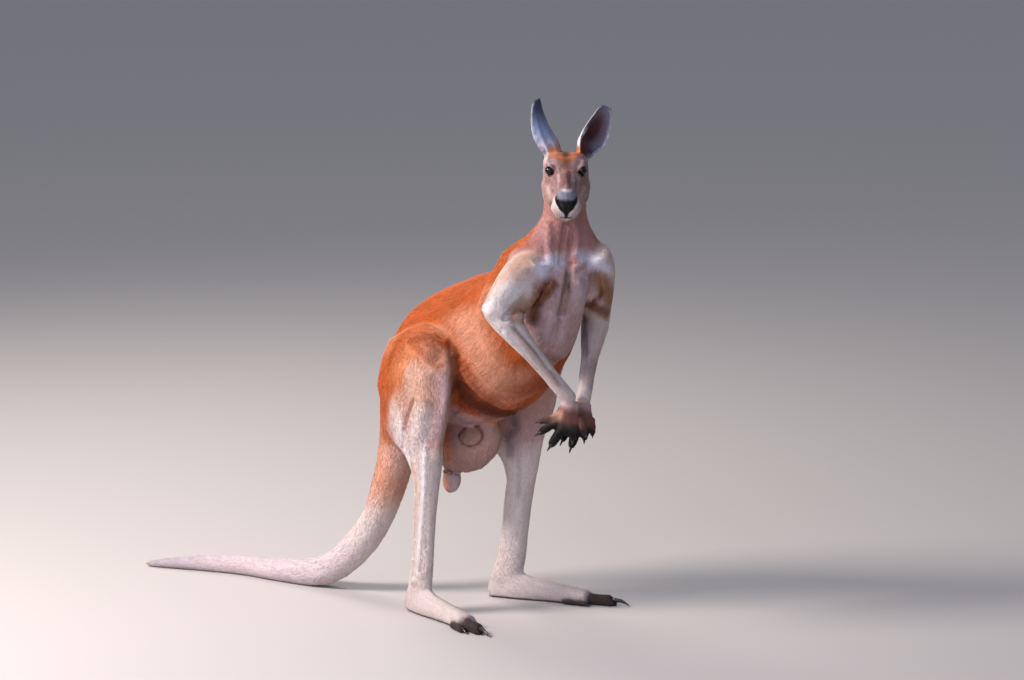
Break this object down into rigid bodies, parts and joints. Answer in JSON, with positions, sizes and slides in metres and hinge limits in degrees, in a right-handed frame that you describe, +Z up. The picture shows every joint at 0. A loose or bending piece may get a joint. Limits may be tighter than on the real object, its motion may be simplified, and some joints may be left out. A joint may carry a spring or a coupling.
{
  "type": "red kangaroo model",
  "caption": "Life-size still model of an adult male red kangaroo standing high on both hind feet, tail laid out behind, chest and head turned to its right, hands held together.",
  "frame": {"origin": "middle of the floor under the whole animal: the bottom centre of the bounding box", "axes": "+Z up; the pelvis faces -Y and the tail lies out to +Y; +X is the animal's left"},
  "size_m": [0.5306, 1.4426, 1.3781],
  "materials": {
    "coat_red": "short dense rust-red fur, matt with a soft sheen",
    "coat_pale": "short cream to pinkish-beige fur, matt",
    "coat_face": "very short fawn fur with bare dark nostrils and lips",
    "coat_ear": "thin bluish-grey fur over a stiff leaf-shaped ear",
    "coat_grey": "thin brown fur",
    "coat_dark": "short dark brown to black fur on fingers and toes",
    "claw": "black horn, semi-gloss and finely ridged lengthwise",
    "eye": "wet gloss, dark brown"
  },
  "bodies": {
    "root": {"belly": "coat_red", "chest": "coat_pale", "ear_left": "coat_ear", "ear_right": "coat_ear", "eye_left": "eye", "eye_right": "eye", "finger_claw_1_left": "claw", "finger_claw_1_right": "claw", "finger_claw_2_left": "claw", "finger_claw_2_right": "claw", "finger_claw_3_left": "claw", "finger_claw_3_right": "claw", "finger_claw_4_left": "claw", "finger_claw_4_right": "claw", "finger_claw_5_left": "claw", "finger_claw_5_right": "claw", "foot_left": "coat_pale", "foot_right": "coat_pale", "forearm_left": "coat_pale", "forearm_right": "coat_pale", "groin": "coat_pale", "hand_left": "coat_dark", "hand_right": "coat_dark", "head": "coat_face", "inner_toes_claw_1_left": "claw", "inner_toes_claw_1_right": "claw", "inner_toes_claw_2_left": "claw", "inner_toes_claw_2_right": "claw", "inner_toes_left": "coat_dark", "inner_toes_right": "coat_dark", "long_toe_claw_1_left": "claw", "long_toe_claw_1_right": "claw", "long_toe_left": "coat_dark", "long_toe_right": "coat_dark", "neck": "coat_red", "outer_toe_claw_1_left": "claw", "outer_toe_claw_1_right": "claw", "outer_toe_left": "coat_dark", "outer_toe_right": "coat_dark", "rump": "coat_red", "scrotum": "coat_grey", "shank_left": "coat_pale", "shank_right": "coat_pale", "tail_bend": "coat_red", "tail_end": "coat_pale", "tail_root": "coat_red", "tail_tip": "coat_pale", "thigh_left": "coat_pale", "thigh_right": "coat_pale", "upper_arm_left": "coat_pale", "upper_arm_right": "coat_pale", "vent": "coat_pale"}
  },
  "joints": []
}
